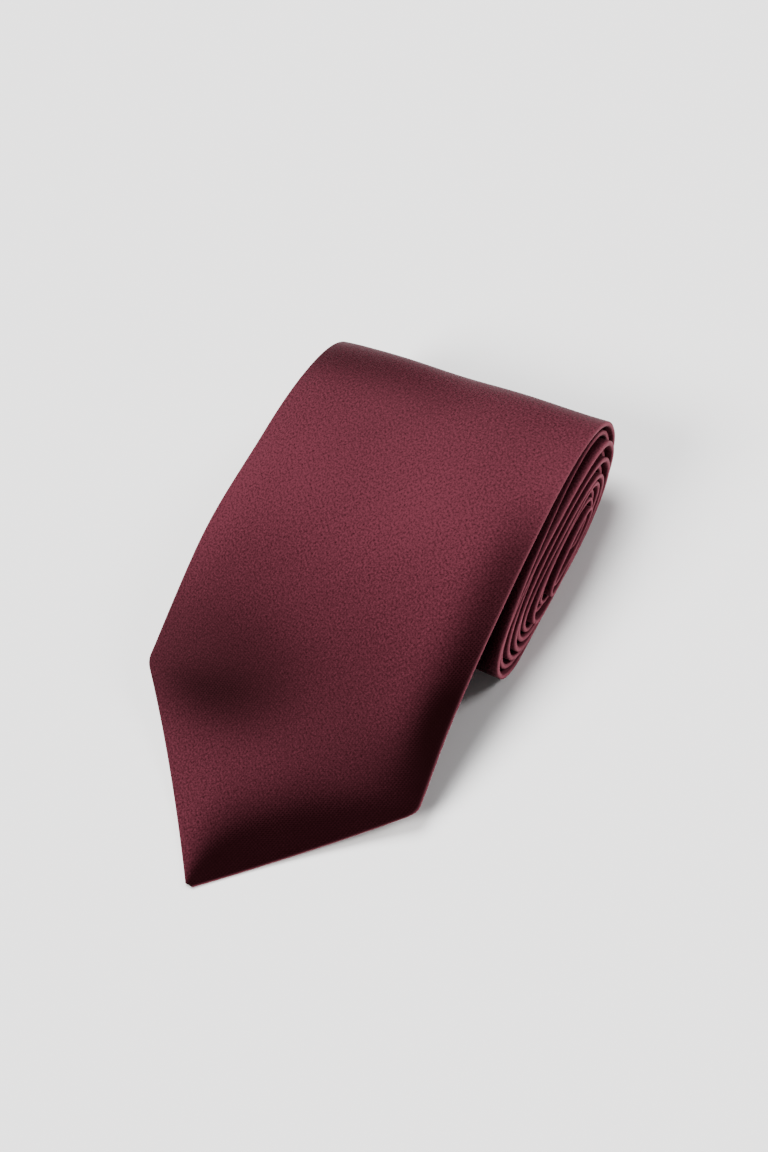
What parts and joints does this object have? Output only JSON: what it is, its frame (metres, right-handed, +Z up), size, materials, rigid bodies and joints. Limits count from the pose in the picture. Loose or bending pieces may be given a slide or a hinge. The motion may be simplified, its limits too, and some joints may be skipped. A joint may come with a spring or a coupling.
{
  "type": "necktie",
  "caption": "Burgundy satin necktie rolled up from its narrow end, its wide pointed blade laid out in front of the roll.",
  "frame": {"origin": "on the surface the tie lies on, under the middle of its bounding box", "axes": "+X along the roll towards its open end, -Y the way the blade points, +Z up"},
  "size_m": [0.1, 0.157, 0.0296],
  "materials": {
    "satin": "burgundy satin, soft sheen",
    "interlining": "undyed brushed wool",
    "tipping": "plain woven lining",
    "thread": "sewing thread",
    "label": "woven ribbon, blank"
  },
  "bodies": {
    "roll": {"front_panel": "satin", "neck_panel": "satin", "tail_panel": "satin", "front_seam_thread": "thread", "tail_seam_thread": "thread", "interlining": "interlining", "front_tipping": "tipping", "tail_tipping": "tipping", "slip_stitch_thread": "thread", "front_bar_tack": "thread", "tail_bar_tack": "thread", "keeper_loop": "satin", "keeper_stitches_left": "thread", "keeper_stitches_right": "thread", "care_label": "label"},
    "blade_end": {"front_blade_end": "satin", "interlining_blade_end": "interlining", "front_tipping_end": "tipping"}
  },
  "joints": [
    {"name": "blade_lift", "type": "hinge", "parent": "roll", "child": "blade_end", "pos_m": [0, -0.00904, 0.01598], "axis": [-1, 0, 0], "range_deg": [0, 60]}
  ]
}
